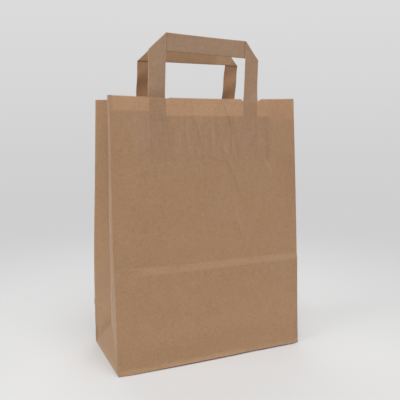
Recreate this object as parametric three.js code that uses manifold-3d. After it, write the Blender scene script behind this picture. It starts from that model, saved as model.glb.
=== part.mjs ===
// A brown paper carrier bag: a folded tube with side gussets and a block bottom, and two flat tape
// handles, each glued inside its panel under a paper patch.
// Millimetres, Z up. The bag stands on Z = 0 and its front looks towards -Y.

import * as THREE from 'three';
import { mergeVertices } from 'three/addons/utils/BufferGeometryUtils.js';
import Module from 'manifold-3d';

const wasm = await Module();
wasm.setup();

// Bag: sizes of the folded sheet
const bagWidth = 240;
const bagDepth = 110;
const panelHeight = 310; // bottom fold to cut edge, along the paper
const mouthDepth = 64; // front panel to back panel at the cut edge
const creaseBow = 3.5; // how far a cross crease stands out of its panel
const paperThickness = 0.15;
const lapWidth = 14; // glued lap that closes the tube, inside the back left edge
const flapOverlap = 26; // front bottom flap over back bottom flap
const floorLayers = 4;
const gussetSteps = 8; // levels of the gussets' twist above the front crease

// Bag: toothed cut edge, lowered where a handle leg crosses it
const toothPitch = 2.4;
const toothDepth = 0.9;
const notchDepth = 1.5;
const notchMargin = 2.5; // beyond each side of a leg

// Handles: one flat tape each, folded over at 45 degrees at both top corners
const tapeWidth = 20;
const tapeThickness = 0.6;
const handleSpan = 140; // over the outer sides of the legs
const frontRise = 70; // cut edge to the top of the bar
const backRise = 67;
const frontStand = 6; // degrees that a handle stands out of its panel's plane, from the cut edge up
const backStand = 0;
const legLength = 57; // cut edge down to the end of a leg
const handleShift = -4; // from the middle of the panel, along +X on the front
const foldGap = 0.1; // between the two plies of a folded corner
const foldSteps = 6;

// Patches: paper glued over the legs, inside the bag
const patchDrop = 20; // cut edge to the top of the patch
const patchBelow = 17; // beyond the leg ends
const patchMargin = 16; // beyond the outer side of a leg
const patchRamp = 3; // slope from the panel up onto a leg
const glueGap = 0.1;

const brownPaper = new THREE.MeshStandardMaterial({ color: 0xa98561, roughness: 0.92, metalness: 0 });
const tapePaper = new THREE.MeshStandardMaterial({ color: 0x9d7c5c, roughness: 0.9, metalness: 0 });
const patchPaper = new THREE.MeshStandardMaterial({ color: 0xa07c59, roughness: 0.94, metalness: 0 });

// Heights of the folds. The back crease meets the tips of the 45 degree end triangles, and the front
// crease is half a depth higher, so that the bottom folds flat against the back of the bag.
const gussetHalf = bagDepth / 2;
const backCrease = gussetHalf;
const frontCrease = backCrease + gussetHalf;
const mouthHeight = Math.sqrt(panelHeight ** 2 - ((bagDepth - mouthDepth) / 2) ** 2);
const floorThickness = floorLayers * paperThickness;

// Distance of a panel from the middle of the bag: a straight lean, standing out at its crease.
function panelReach(height, crease) {
  const lean = THREE.MathUtils.lerp(bagDepth, mouthDepth, height / mouthHeight) / 2;
  const below = height / crease;
  const above = (mouthHeight - height) / (mouthHeight - crease);
  return lean + creaseBow * Math.min(below, above);
}

// Outline of the tube at one height, anticlockwise from the front left corner. Each half of a gusset
// keeps its paper's length, so the closer the panels lean, the deeper the middle fold goes in.
const rightMiddle = 2;
function outerRing(height) {
  const side = bagWidth / 2;
  const front = -panelReach(height, frontCrease);
  const back = panelReach(height, backCrease);
  const middle = (front + back) / 2;
  const halfDepth = Math.min((back - front) / 2, gussetHalf);
  const inset = Math.sqrt(gussetHalf ** 2 - halfDepth ** 2);
  return [
    new THREE.Vector2(-side, front),
    new THREE.Vector2(side, front),
    new THREE.Vector2(side - inset, middle),
    new THREE.Vector2(side, back),
    new THREE.Vector2(-side, back),
    new THREE.Vector2(-side + inset, middle),
  ];
}

// The same outline one paper thickness inwards, with the lap's step inside the back left edge.
function innerRing(height) {
  const ring = outerRing(height);
  const count = ring.length;
  const inner = ring.map((corner, i) => {
    const before = corner.clone().sub(ring[(i + count - 1) % count]).normalize();
    const after = ring[(i + 1) % count].clone().sub(corner).normalize();
    const inwards = new THREE.Vector2(-before.y - after.y, before.x + after.x);
    return corner.clone().addScaledVector(inwards, paperThickness / (1 + before.dot(after)));
  });
  const leftMiddle = inner.pop();
  const backLeft = inner.pop();
  const lapEdge = backLeft.x + lapWidth;
  const lapCorner = backLeft.clone().lerp(leftMiddle, paperThickness / (backLeft.y - leftMiddle.y));
  return [
    ...inner,
    new THREE.Vector2(lapEdge, backLeft.y),
    new THREE.Vector2(lapEdge, lapCorner.y),
    lapCorner,
    leftMiddle,
  ];
}

function geometryFrom(points, triangles) {
  const geometry = new THREE.BufferGeometry().setFromPoints(points);
  geometry.setIndex(triangles.flat());
  geometry.computeVertexNormals();
  return geometry;
}

function toSolid(geometry) {
  const bare = geometry.clone();
  bare.deleteAttribute('normal');
  bare.deleteAttribute('uv');
  const merged = mergeVertices(bare);
  const vertProperties = new Float32Array(merged.attributes.position.array);
  const triVerts = new Uint32Array(merged.index.array);
  return new wasm.Manifold(new wasm.Mesh({ numProp: 3, vertProperties, triVerts }));
}

function toGeometry(solid) {
  const { vertProperties, triVerts } = solid.getMesh();
  const geometry = new THREE.BufferGeometry();
  geometry.setAttribute('position', new THREE.BufferAttribute(vertProperties, 3));
  geometry.setIndex(new THREE.BufferAttribute(triVerts, 1));
  geometry.computeVertexNormals();
  return geometry;
}

// The faces of a wall through rings of points, one ring above the other. The halves of a gusset are
// creased from the edge of their panel up to the middle fold.
function wallFaces(firsts, count) {
  const faces = [];
  for (let level = 0; level + 1 < firsts.length; level += 1) {
    for (let i = 0; i < count; i += 1) {
      const next = (i + 1) % count;
      const [a, b] = [firsts[level] + i, firsts[level] + next];
      const [c, d] = [firsts[level + 1] + next, firsts[level + 1] + i];
      const fromMiddle = i === rightMiddle || i === count - 1;
      faces.push(...(fromMiddle ? [[a, b, d], [b, c, d]] : [[a, b, c], [a, c, d]]));
    }
  }
  return faces;
}

function turnedOver(faces) {
  return faces.map((face) => face.toReversed());
}

// The open tube with its floor, taller than the bag by the strip that the toothed knife cuts off.
function tubeGeometry() {
  const blankHeight = mouthHeight + toothDepth;
  const twistHeight = (step) => THREE.MathUtils.lerp(frontCrease, blankHeight, step / gussetSteps);
  const twist = Array.from({ length: gussetSteps + 1 }, (_, step) => twistHeight(step));
  const heights = [0, backCrease, ...twist];
  const outer = heights.map((z) => outerRing(z).map((p) => new THREE.Vector3(p.x, p.y, z)));
  const inner = heights.map((z) => {
    const onFloor = Math.max(z, floorThickness);
    return innerRing(z).map((p) => new THREE.Vector3(p.x, p.y, onFloor));
  });
  const points = [...outer.flat(), ...inner.flat()];
  const outerCount = outer[0].length;
  const innerCount = inner[0].length;
  const outerFirsts = heights.map((_, level) => level * outerCount);
  const innerFirsts = heights.map((_, level) => outer.flat().length + level * innerCount);

  const { triangulateShape } = THREE.ShapeUtils;
  const underside = triangulateShape(outer[0], []);
  const floor = triangulateShape(inner[0], []).map((face) => face.map((i) => innerFirsts[0] + i));
  const rimPoint = (i) => (i < outerCount ? outerFirsts.at(-1) + i : innerFirsts.at(-1) + i - outerCount);
  const rim = triangulateShape(outer.at(-1), [inner.at(-1)]).map((face) => face.map(rimPoint));
  const outerWall = wallFaces(outerFirsts, outerCount);
  const innerWall = wallFaces(innerFirsts, innerCount);
  return geometryFrom(points, [
    ...outerWall,
    ...turnedOver(innerWall),
    ...turnedOver(underside),
    ...floor,
    ...rim,
  ]);
}

function extrudedSolid(outline, depth) {
  const shape = new THREE.Shape(outline);
  return toSolid(new THREE.ExtrudeGeometry(shape, { depth, bevelEnabled: false }));
}

// What the toothed knife takes off the front half of the tube: everything above a row of teeth.
function knifeCut() {
  const spareTeeth = 2;
  const teeth = Math.ceil(bagWidth / toothPitch) + spareTeeth;
  const legCentre = (handleSpan - tapeWidth) / 2;
  const dropAt = (x) => {
    const fromLeg = Math.abs(Math.abs(x - handleShift) - legCentre);
    return fromLeg < tapeWidth / 2 + notchMargin ? notchDepth : 0;
  };
  const outline = [];
  for (let i = 0; i <= teeth * 2; i += 1) {
    const x = (i - teeth) * (toothPitch / 2);
    const tooth = i % 2 === 0 ? 0 : toothDepth;
    outline.push(new THREE.Vector2(x, mouthHeight - dropAt(x) - tooth));
  }
  const halfRow = (teeth * toothPitch) / 2;
  const clear = mouthHeight + bagDepth;
  outline.push(new THREE.Vector2(halfRow, clear), new THREE.Vector2(-halfRow, clear));
  return extrudedSolid(outline, bagDepth).rotate([90, 0, 0]);
}

// The steps under the floor: the front flap lies lowest, the back flap one paper higher, and the
// end triangles one paper higher again.
function floorSteps() {
  const past = 1; // the cuts run past the edges of the floor
  const side = bagWidth / 2 + past;
  const end = bagDepth / 2 + past;
  const flapEdge = flapOverlap / 2;
  const flapRun = end + flapEdge;
  const besideFrontFlap = [
    new THREE.Vector2(-side, -end),
    new THREE.Vector2(-side + flapRun, flapEdge),
    new THREE.Vector2(side - flapRun, flapEdge),
    new THREE.Vector2(side, -end),
    new THREE.Vector2(side, end),
    new THREE.Vector2(-side, end),
  ];
  const endTriangle = (sign) => [
    new THREE.Vector2(sign * side, -sign * end),
    new THREE.Vector2(sign * side, sign * end),
    new THREE.Vector2(sign * (side - end), 0),
  ];
  const below = paperThickness;
  const flapStep = extrudedSolid(besideFrontFlap, below + paperThickness);
  const tipSteps = [-1, 1].map((sign) => extrudedSolid(endTriangle(sign), below + 2 * paperThickness));
  return wasm.Manifold.union([flapStep, ...tipSteps]).translate([0, 0, -below]);
}

function bagGeometry() {
  const frontCut = knifeCut();
  const backCut = frontCut.rotate([0, 0, 180]);
  const cuts = wasm.Manifold.union([frontCut, backCut, floorSteps()]);
  return toGeometry(toSolid(tubeGeometry()).subtract(cuts));
}

// The pieces on a panel stand in its own frame: X along the cut edge, Y into the bag from the
// panel's outer face, Z up the panel from the cut edge.
const legFace = paperThickness + glueGap;

// A row of the tape turned out of the panel's plane, about a line along the cut edge.
function standingRow({ lower, upper, facing }, bend, angle) {
  const alongEdge = new THREE.Vector3(1, 0, 0);
  const turned = (point) => point.clone().sub(bend).applyAxisAngle(alongEdge, angle).add(bend);
  return {
    lower: turned(lower),
    upper: turned(upper),
    facing: facing.clone().applyAxisAngle(alongEdge, angle),
  };
}

function handleGeometry(rise, standDegrees) {
  const bendRadius = (tapeThickness + foldGap) / 2;
  const foldTravel = (Math.PI * bendRadius) / Math.SQRT2;
  const legLayer = legFace + tapeThickness / 2;
  const outerEdge = -handleSpan / 2;
  const foldStart = rise - tapeWidth - foldTravel;
  const outwards = new THREE.Vector3(0, -1, 0);
  const legEnd = {
    lower: new THREE.Vector3(outerEdge, legLayer, -legLength),
    upper: new THREE.Vector3(outerEdge + tapeWidth, legLayer, -legLength),
    facing: outwards,
  };
  const overFold = new THREE.Vector3(-1, 0, 1).normalize();
  const alongFold = new THREE.Vector3(1, 0, 1).normalize();
  const foldRow = (turn) => {
    const shift = new THREE.Vector3(0, bendRadius * (1 - Math.cos(turn)), 0);
    shift.addScaledVector(overFold, bendRadius * Math.sin(turn));
    shift.addScaledVector(alongFold, bendRadius * turn);
    return {
      lower: new THREE.Vector3(outerEdge, legLayer, foldStart).add(shift),
      upper: new THREE.Vector3(outerEdge + tapeWidth, legLayer, foldStart + tapeWidth).add(shift),
      facing: overFold.clone().multiplyScalar(Math.sin(turn)).addScaledVector(outwards, Math.cos(turn)),
    };
  };
  const turns = Array.from({ length: foldSteps + 1 }, (_, i) => (Math.PI * i) / foldSteps);
  const cutEdge = {
    lower: new THREE.Vector3(outerEdge, legLayer, 0),
    upper: new THREE.Vector3(outerEdge + tapeWidth, legLayer, 0),
    facing: outwards,
  };
  const stand = THREE.MathUtils.degToRad(standDegrees);
  const freeRows = turns.map((turn) => standingRow(foldRow(turn), cutEdge.lower, stand));
  const leftRows = [legEnd, standingRow(cutEdge, cutEdge.lower, stand / 2), ...freeRows];
  const mirrored = new THREE.Vector3(-1, 1, 1);
  const rightRows = leftRows.toReversed().map((row) => ({
    lower: row.lower.clone().multiply(mirrored),
    upper: row.upper.clone().multiply(mirrored),
    facing: row.facing.clone().multiply(mirrored),
  }));
  return tapeGeometry([...leftRows, ...rightRows]);
}

// A tape of one thickness through a list of rows that run across it.
function tapeGeometry(rows) {
  const points = [];
  for (const { lower, upper, facing } of rows) {
    const half = facing.clone().multiplyScalar(tapeThickness / 2);
    points.push(lower.clone().add(half), upper.clone().add(half));
    points.push(upper.clone().sub(half), lower.clone().sub(half));
  }
  const triangles = [[0, 2, 1], [0, 3, 2]];
  for (let row = 0; row + 1 < rows.length; row += 1) {
    for (let corner = 0; corner < 4; corner += 1) {
      const next = (corner + 1) % 4;
      const [a, b] = [4 * row + corner, 4 * row + next];
      triangles.push([a, b, b + 4], [a, b + 4, a + 4]);
    }
  }
  const last = 4 * (rows.length - 1);
  triangles.push([last, last + 1, last + 2], [last, last + 2, last + 3]);
  return geometryFrom(points, triangles);
}

// A sheet that lies on the panel and rises over the two legs.
function patchGeometry() {
  const legCentre = (handleSpan - tapeWidth) / 2;
  const legHalf = tapeWidth / 2 + patchRamp / 2;
  const halfWidth = handleSpan / 2 + patchMargin;
  const top = -patchDrop;
  const bottom = -legLength - patchBelow;
  const stepBelow = -legLength - patchRamp / 2;
  const slope = (beyond) => 1 - THREE.MathUtils.clamp(beyond / patchRamp, 0, 1);
  const rise = (x, z) => {
    const beside = Math.abs(Math.abs(x) - legCentre) - legHalf;
    return (tapeThickness + glueGap) * Math.min(slope(beside), slope(stepBelow - z));
  };
  const bends = [-legHalf - patchRamp, -legHalf, legHalf, legHalf + patchRamp];
  const acrossLegs = [-legCentre, legCentre].flatMap((centre) => bends.map((bend) => centre + bend));
  const columns = [-halfWidth, ...acrossLegs, halfWidth];
  const rows = [bottom, stepBelow - patchRamp, stepBelow, top];
  const points = [];
  for (const face of [0, paperThickness]) {
    for (const z of rows) {
      points.push(...columns.map((x) => new THREE.Vector3(x, legFace + rise(x, z) + face, z)));
    }
  }
  const width = columns.length;
  const layer = width * rows.length;
  const triangles = [];
  const quad = (a, b, c, d) => triangles.push([a, b, c], [a, c, d]);
  for (let row = 0; row + 1 < rows.length; row += 1) {
    for (let column = 0; column + 1 < width; column += 1) {
      const a = row * width + column;
      const far = a + layer;
      quad(a, a + 1, a + 1 + width, a + width);
      quad(far, far + width, far + 1 + width, far + 1);
    }
    const left = row * width;
    const right = left + width - 1;
    quad(left, left + width, left + width + layer, left + layer);
    quad(right, right + layer, right + layer + width, right + width);
  }
  for (let column = 0; column + 1 < width; column += 1) {
    const low = column;
    const high = layer - width + column;
    quad(low, low + layer, low + layer + 1, low + 1);
    quad(high, high + 1, high + 1 + layer, high + layer);
  }
  return geometryFrom(points, triangles);
}

function named(name, geometry, material) {
  const mesh = new THREE.Mesh(geometry, material);
  mesh.name = name;
  return mesh;
}

// The handle and patch of one panel, leaning with the part of the panel above its crease.
function panelPieces(side, crease, rise, stand) {
  const pieces = new THREE.Group();
  const run = panelReach(crease, crease) - mouthDepth / 2;
  pieces.position.set(handleShift, -mouthDepth / 2, mouthHeight);
  pieces.rotation.x = -Math.atan2(run, mouthHeight - crease);
  pieces.add(named(`${side}_handle`, handleGeometry(rise, stand), tapePaper));
  pieces.add(named(`${side}_patch`, patchGeometry(), patchPaper));
  return pieces;
}

const bag = new THREE.Group();
bag.add(named('bag_body', bagGeometry(), brownPaper));
bag.add(panelPieces('front', frontCrease, frontRise, frontStand));
const backSide = new THREE.Group();
backSide.rotation.z = Math.PI;
backSide.add(panelPieces('back', backCrease, backRise, backStand));
bag.add(backSide);

export default bag;
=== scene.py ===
# %% [markdown]
# # A brown paper carrier bag
# The real bag is one sheet of brown paper, glued into a tube, folded at the sides and closed at the
# bottom. Two flat tape handles are glued inside under paper patches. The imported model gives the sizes
# and the places. Paper can't be finished well as a stiff solid, so each piece is made again here as a
# thin folded sheet, and the solid stays behind it for collision. The shapes are worked out in
# millimetres and become metres when they are put into a mesh.

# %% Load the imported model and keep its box
import math

import bmesh
import bpy
import numpy as np
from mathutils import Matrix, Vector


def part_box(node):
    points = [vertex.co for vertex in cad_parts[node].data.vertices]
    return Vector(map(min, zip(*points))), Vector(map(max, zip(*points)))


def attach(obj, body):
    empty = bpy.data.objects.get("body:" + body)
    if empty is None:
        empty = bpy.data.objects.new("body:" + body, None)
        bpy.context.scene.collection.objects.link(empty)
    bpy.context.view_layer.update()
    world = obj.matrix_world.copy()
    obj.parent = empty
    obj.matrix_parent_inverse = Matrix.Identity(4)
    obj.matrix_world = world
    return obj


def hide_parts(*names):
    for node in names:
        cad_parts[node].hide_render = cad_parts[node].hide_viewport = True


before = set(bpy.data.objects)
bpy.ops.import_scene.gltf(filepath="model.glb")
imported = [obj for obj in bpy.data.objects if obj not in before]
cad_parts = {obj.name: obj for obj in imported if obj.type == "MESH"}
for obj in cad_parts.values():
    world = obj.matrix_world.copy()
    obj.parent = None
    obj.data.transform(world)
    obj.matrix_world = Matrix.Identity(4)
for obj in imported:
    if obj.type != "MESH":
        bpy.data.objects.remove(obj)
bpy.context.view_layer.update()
MM = 0.001
bag_low, bag_high = [np.array(corner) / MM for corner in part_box("bag_body")]
half_width, half_depth = bag_high[:2]
print("bag", (bag_high - bag_low).round(1), "mm")

# %% [markdown]
# ## Camera
# The photo is 400 pixels wide. A camera was fitted to the corners and creases of the bag, which gives
# a focal length in pixels, a place, a turn to the right and a small dip. Blender wants the focal
# length in millimetres on its 36 mm sensor, so the pixels are scaled by 36 / 400.

# %% Set up the camera
photo_pixels = 400
focal_pixels = 525.4
camera_place = np.array([-266.1, -594.7, 277.1])
camera_turn, camera_dip = 0.427, 0.140


def add_object(name, data):
    """Puts a new object with the given data into the scene."""
    thing = bpy.data.objects.new(name, data)
    bpy.context.scene.collection.objects.link(thing)
    return thing


lens = bpy.data.cameras.new("camera")
lens.sensor_width = 36
lens.lens = focal_pixels * lens.sensor_width / photo_pixels
camera = add_object("camera", lens)
camera.location = camera_place * MM
camera.rotation_euler = (math.pi / 2 - camera_dip, 0, -camera_turn)
bpy.context.scene.camera = camera
bpy.context.scene.view_settings.view_transform = "Standard"
print("lens", round(lens.lens, 2), "mm")

# %% [markdown]
# ## Nodes and colours
# All materials are small node trees. One function adds a node: its own settings go in as keywords,
# and its sockets as a dictionary whose values are numbers, sockets to link, or nodes, which link their
# first output. Another turns a given sRGB hex value into the linear colour that a shader works with.

# %% Helpers for node trees
def empty_tree(owner):
    """The node tree of a material or a world, with nothing in it yet."""
    owner.use_nodes = True
    owner.node_tree.nodes.clear()
    return owner.node_tree


def add_node(tree, kind, sockets, **settings):
    """Adds one shader node, sets its settings, and sets or links its input sockets.

    A socket's value is a number, a socket to link, or a node whose first output is linked.
    """
    node = tree.nodes.new("ShaderNode" + kind)
    for name, value in settings.items():
        setattr(node, name, value)
    for name, value in sockets.items():
        value = value.outputs[0] if isinstance(value, bpy.types.Node) else value
        if isinstance(value, bpy.types.NodeSocket):
            tree.links.new(value, node.inputs[name])
        else:
            node.inputs[name].default_value = value
    return node


def linear(hex_colour):
    """Linear RGBA of an sRGB hex colour: c / 12.92 below 0.04045, ((c + 0.055) / 1.055) ** 2.4 above."""
    srgb = np.array([int(hex_colour[i:i + 2], 16) for i in (1, 3, 5)]) / 255
    rgb = np.where(srgb <= 0.04045, srgb / 12.92, ((srgb + 0.055) / 1.055) ** 2.4)
    return (*rgb.tolist(), 1.0)


print("brown paper in linear light", np.round(linear("#a98561"), 3))

# %% [markdown]
# ## Studio
# The bag was photographed in a light tent: a pale floor that runs into a pale wall with no line, light
# from all round, a little more of it from above and from the left, and very soft shadows. A wall close
# to the bag would block the other views, so here the floor is a wide disc that fades out into the
# world. The world shows the camera a pale grey and lights the bag at its own level.

# %% World, floor and lamps
world = bpy.data.worlds.new("light tent")
bpy.context.scene.world = world
tent = empty_tree(world)
rays = add_node(tent, "LightPath", {})
seen = add_node(tent, "Math", {0: rays.outputs["Is Camera Ray"], 1: rays.outputs["Is Glossy Ray"]},
                operation="MAXIMUM")
seen = add_node(tent, "Math", {0: seen, 1: rays.outputs["Is Transmission Ray"]}, operation="MAXIMUM")
ambient = add_node(tent, "Background", {"Color": (1, 1, 1, 1), "Strength": 0.3})
heading = add_node(tent, "SeparateXYZ", {0: add_node(tent, "TexCoord", {}).outputs["Generated"]})
upward = add_node(tent, "MapRange", {"Value": heading.outputs[2], "From Min": -0.12, "From Max": 0.2})
pale = add_node(tent, "Mix", {"Factor": upward, "A": linear("#cfcfcf"), "B": linear("#dbdbdb")},
                data_type="RGBA")
backdrop = add_node(tent, "Background", {"Color": pale.outputs["Result"], "Strength": 1.0})
sky = add_node(tent, "MixShader", {0: seen, 1: ambient, 2: backdrop})
add_node(tent, "OutputWorld", {"Surface": sky})

floor_paint = bpy.data.materials.new("matt white table")
tree = empty_tree(floor_paint)
place = add_node(tree, "TexCoord", {})
distance = add_node(tree, "VectorMath", {0: place.outputs["Object"]}, operation="LENGTH")
fade = add_node(tree, "MapRange", {"Value": distance.outputs["Value"], "From Min": -0.1, "From Max": 0.88},
                interpolation_type="SMOOTHSTEP")
matt = add_node(tree, "BsdfDiffuse", {"Color": linear("#dadada")})
clear = add_node(tree, "BsdfTransparent", {})
mixed = add_node(tree, "MixShader", {0: fade, 1: matt, 2: clear})
add_node(tree, "OutputMaterial", {"Surface": mixed})

floor_radius, floor_sides, floor_level = 2.0, 96, -0.0002  # in metres, just under the bag
around = np.linspace(0, 2 * np.pi, floor_sides, endpoint=False)
rim = np.stack([floor_radius * np.cos(around), floor_radius * np.sin(around),
                np.full(floor_sides, floor_level)], axis=1)
floor_mesh = bpy.data.meshes.new("floor")
floor_mesh.from_pydata(rim.tolist(), [], [list(range(floor_sides))])
floor_mesh.materials.append(floor_paint)
floor = add_object("floor", floor_mesh)

for name, where, size, watts, aim in [
        ("front overhead softbox", (-0.2, -1.9, 3.2), 3.0, 96.0, (0, 0, 0.15)),
        ("rear overhead softbox", (0.5, 2.2, 2.9), 3.0, 44.0, (0, 0.2, 0)),
        ("left softbox", (-3.0, -0.2, 1.2), 2.0, 50.0, (0, 0, 0.15)),
        ("right softbox", (3.0, -1.0, 1.2), 2.4, 17.0, (0, 0, 0.15))]:
    lamp = bpy.data.lights.new(name, "AREA")
    lamp.size, lamp.energy = size, watts
    box = add_object(name, lamp)
    box.location = where
    towards = np.array(aim) - np.array(where)
    box.rotation_euler = (math.atan2(np.hypot(*towards[:2]), -towards[2]), 0,
                          math.atan2(-towards[0], towards[1]))
    print(name, watts, "W at", where)

# %% [markdown]
# ## Paper
# Brown paper is unbleached wood pulp, pressed and dried on rollers and left uncoated. To the eye that
# gives a matt surface, a cloudy tone where the pulp lay thicker, faint streaks along the running
# direction, short fibres and a few dark specks of bark. The fibres are really about 0.03 mm wide. That
# is too fine to show, so they are drawn 0.45 mm wide. One function builds this for all the papers of
# the bag; the colour sockets stay open, so that a piece can add its own marks.

# %% The paper finish
clouds = [(26, 0.3), (7, 0.35), (2.4, 0.8)]  # size in millimetres and share of the tone
streak_size, fibre_size, speck_spacing = 1.8, 0.45, 7


def paper_finish(name, dark, light):
    """Pulp clouds, streaks along the height, fibres and specks, mixed from a dark to a light tone.

    Returns the material, its node tree, the paper's colour socket and the shader.
    """
    paper = bpy.data.materials.new(name)
    tree = empty_tree(paper)
    spot = add_node(tree, "TexCoord", {}).outputs["Object"]
    tall = add_node(tree, "Mapping", {"Vector": spot, "Scale": (1, 1, 0.06)})
    short = add_node(tree, "Mapping", {"Vector": spot, "Scale": (1, 1, 0.16)})
    tone = 0.5
    for vector, size, share in [(spot, *cloud) for cloud in clouds] + [
            (tall, streak_size, 0.25), (short, fibre_size, 0.6)]:
        noise = add_node(tree, "TexNoise", {"Vector": vector, "Scale": 1 / (size * MM), "Detail": 3.0})
        part = add_node(tree, "Math", {0: noise, 1: 0.5}, operation="SUBTRACT")
        tone = add_node(tree, "Math", {0: part, 1: share, 2: tone}, operation="MULTIPLY_ADD")
    pulp = add_node(tree, "Mix", {"Factor": tone, "A": linear(dark), "B": linear(light)}, data_type="RGBA")
    bark = add_node(tree, "TexVoronoi", {"Vector": short, "Scale": 1 / (speck_spacing * MM)})
    chance = add_node(tree, "SeparateColor", {"Color": bark.outputs["Color"]})
    rare = add_node(tree, "Math", {0: chance, 1: 5.0}, operation="POWER")
    width = add_node(tree, "Math", {0: rare, 1: 0.075}, operation="MULTIPLY")
    inside = add_node(tree, "Math", {0: bark.outputs["Distance"], 1: width}, operation="LESS_THAN")
    speck = add_node(tree, "Math", {0: inside, 1: 0.3}, operation="MULTIPLY")
    body = add_node(tree, "Mix", {"Factor": speck, "A": pulp.outputs["Result"], "B": linear("#6d5138")},
                    data_type="RGBA")
    relief = add_node(tree, "Bump", {"Height": tone, "Strength": 0.35, "Distance": 0.12 * MM})
    shader = add_node(tree, "BsdfPrincipled", {
        "Base Color": body.outputs["Result"], "Normal": relief, "Roughness": 0.62, "IOR": 1.5,
        "Specular IOR Level": 0.5, "Sheen Weight": 0.13, "Sheen Roughness": 0.5})
    add_node(tree, "OutputMaterial", {"Surface": shader})
    return paper, tree, body.outputs["Result"], shader


print("fibres drawn", fibre_size, "mm wide, specks of bark", speck_spacing, "mm apart")

# %% [markdown]
# ## The sheet of the bag
# The bag is one sheet, so it is made as one grid: the columns go once round the tube, and the rows
# run from the free edges of the bottom flaps, round the bottom fold and up to the cut edge. A bag that
# has been packed flat and opened again is never square: the mouth is pulled together, the side folds
# lean inwards, and the back bows out between its folds. The four long folds were read off the photo
# as functions of the height, and everything else hangs between them.

# %% The long folds of the bag as functions of the height
front_lean, front_bow, front_height = 22, 2, 310  # lean and bow of the front at this height
back_lean, back_bow, back_height = 26.8, 13.7, 309
skew_height = 70


def ease(t):
    """0 up to t = 0, 1 from t = 1, and a smooth step 3 t² - 2 t³ between."""
    t = np.clip(t, 0, 1)
    return t * t * (3 - 2 * t)


def front_fold(z, side):
    """Fold between the front panel and a gusset: the front leans in evenly, the ends stand almost upright.

    The bottom isn't quite square: at the right the fold comes forward by 2 (1 - z / 70)² near the floor.
    """
    skew = np.where(side < 0, 0.0, np.clip(1 - z / skew_height, 0, 1) ** 2)
    left = -(120.6 - 2.6 * ease((z - 150) / 140))
    right = 118.9 + 0.9 * np.sin(np.pi * z / 270) - 0.9 * skew
    return np.where(side < 0, left, right), -half_depth + front_lean * z / front_height - 2 * skew


def back_fold(z, side):
    """Fold between the back panel and a gusset: upright at the bottom, then leaning in, most half way up."""
    rise = np.clip(z / back_height, 0, 1.05)
    lean = (np.sin(np.pi / 2 * rise) ** 2 + rise ** 1.6) / 2
    belly = 0.75 * np.exp(-((z - 125) / 60) ** 2)
    return side * (half_width - 1.8 * rise ** 3.2 + belly), half_depth - 1 - back_lean * lean


def middle_inset(z):
    """How far the middle fold of a gusset lies inside its outer folds.

    Half a gusset is as wide as half the depth of the bag and spans half the gap between the folds, so by
    Pythagoras inset² = half depth² - half gap².
    """
    half_gap = (back_fold(z, 1)[1] - front_fold(z, 1)[1]) / 2
    return np.sqrt(np.maximum(half_depth ** 2 - half_gap ** 2, 0))


for z in (0.0, 155.0, 309.0):
    print("height", z, "front fold", np.round(front_fold(z, -1), 1),
          "back fold", np.round(back_fold(z, -1), 1), "inset", np.round(middle_inset(z), 1))

# %% [markdown]
# ## Creases and waves of the wide panels
# Across the front runs the crease from when the bottom lay folded up against it: a crisp upper line, a
# narrow band that faces the light, and a soft ridge under it. Glue made the paper wave where the
# patch and the handle legs are stuck behind it, and a few long wrinkles run down from there. These are
# real shapes of a fraction of a millimetre, so they are moved in the sheet and not only painted.

# %% The relief of a wide panel
crease_height, band_width, band_depth = 117.6, 8.0, 1.3
wrinkles = [  # start and end as (along the panel, height), height out of the panel and half width
    ((-79, 290), (-77, 248), -0.15, 1.3), ((-54, 286), (-52, 261), -0.24, 1.5),
    ((-53, 263), (-49, 241), -0.16, 1.6), ((-40, 285), (-37, 243), 0.20, 1.7),
    ((-30, 279), (-28, 261), 0.14, 1.4), ((-29, 263), (-24, 247), 0.22, 1.5),
    ((-21, 290), (-10, 250), -0.28, 1.5), ((-18, 289), (-11, 267), 0.22, 1.6),
    ((4, 289), (5, 248), 0.28, 1.4), ((1, 290), (2, 275), -0.22, 1.1), ((8, 289), (12, 256), -0.18, 3.0),
    ((14, 264), (24, 244), 0.24, 1.7), ((17, 309), (24, 288), -0.24, 1.6),
    ((24, 291), (29, 271), -0.42, 1.7), ((29, 275), (27, 240), -0.32, 1.5),
    ((31, 269), (31, 242), 0.22, 1.5), ((36, 264), (39, 236), -0.20, 2.1),
    ((20, 239), (30, 215), -0.28, 1.7), ((29, 237), (30, 221), 0.18, 1.5),
    ((30, 219), (37, 200), -0.24, 1.7), ((31, 198), (34, 175), 0.18, 1.9),
    ((33, 180), (40, 150), 0.28, 1.5), ((36, 158), (40, 145), -0.28, 1.4),
    ((39, 201), (40, 184), -0.14, 2.1), ((74, 238), (88, 216), 0.22, 2.3),
    ((-13, 236), (-12, 221), 0.18, 1.5), ((-12, 181), (-10, 167), 0.15, 1.5),
    ((-117, 118.4), (-82, 118.0), 0.35, 0.8), ((-116, 102), (-80, 103), 0.12, 1.2),
    ((-66, 8.5), (-60, 4), 0.3, 1.2), ((0, 7), (5, 3), 0.3, 1.2)]


def wrinkle_relief(u, z):
    """Sum of ridges: height times exp(-(distance to the line / half width)²), tapered at both ends."""
    total = np.zeros(np.broadcast(u, z).shape)
    for (u0, z0), (u1, z1), height, width in wrinkles:
        length = math.hypot(u1 - u0, z1 - z0)
        along = ((u - u0) * (u1 - u0) + (z - z0) * (z1 - z0)) / length
        across = ((u - u0) * (z1 - z0) - (z - z0) * (u1 - u0)) / length
        taper = ease(along / (0.3 * length)) * ease((length - along) / (0.3 * length))
        total = total + height * taper * np.exp(-(across / width) ** 2)
    return total


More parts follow.
